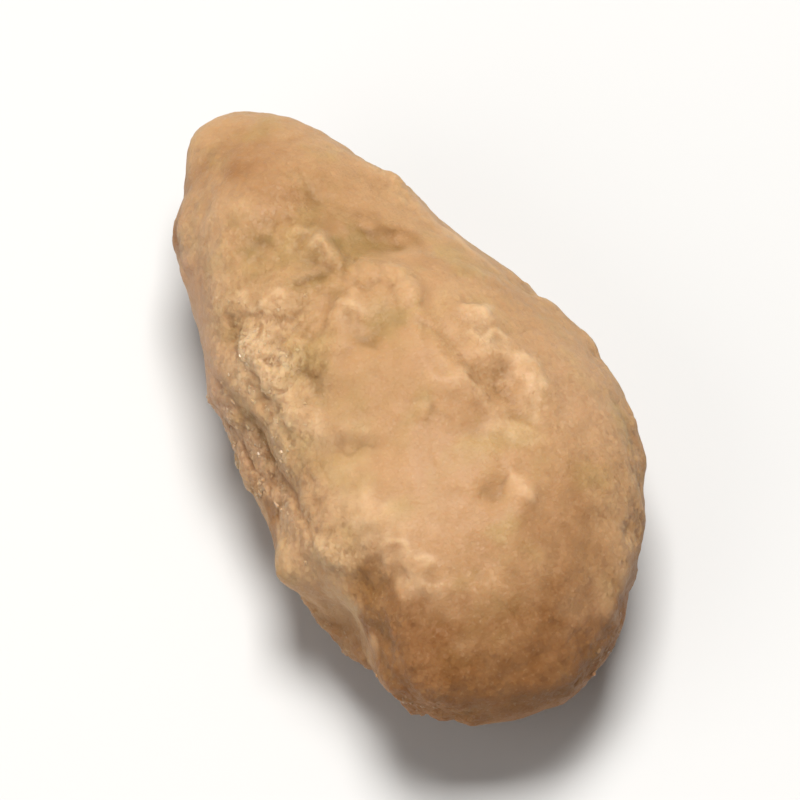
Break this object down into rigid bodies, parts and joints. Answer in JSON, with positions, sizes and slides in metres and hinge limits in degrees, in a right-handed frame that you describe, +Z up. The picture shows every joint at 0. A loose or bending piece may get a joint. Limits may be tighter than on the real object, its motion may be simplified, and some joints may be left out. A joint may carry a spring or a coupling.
{
  "type": "candied almond",
  "caption": "Whole teardrop-shaped almond in a lumpy, browned crystalline sugar coat, lying on a small flat spot.",
  "frame": {"origin": "middle of the footprint's bounding box, on the surface the almond rests on", "axes": "+Y from the round end to the tip (the longest extent), +Z up through the thickness (the shortest extent), +X to the right seen from above"},
  "size_m": [0.0148, 0.027, 0.0112],
  "materials": {
    "sugar_coat": "satin"
  },
  "bodies": {
    "root": {"candied_almond": "sugar_coat"}
  },
  "joints": []
}
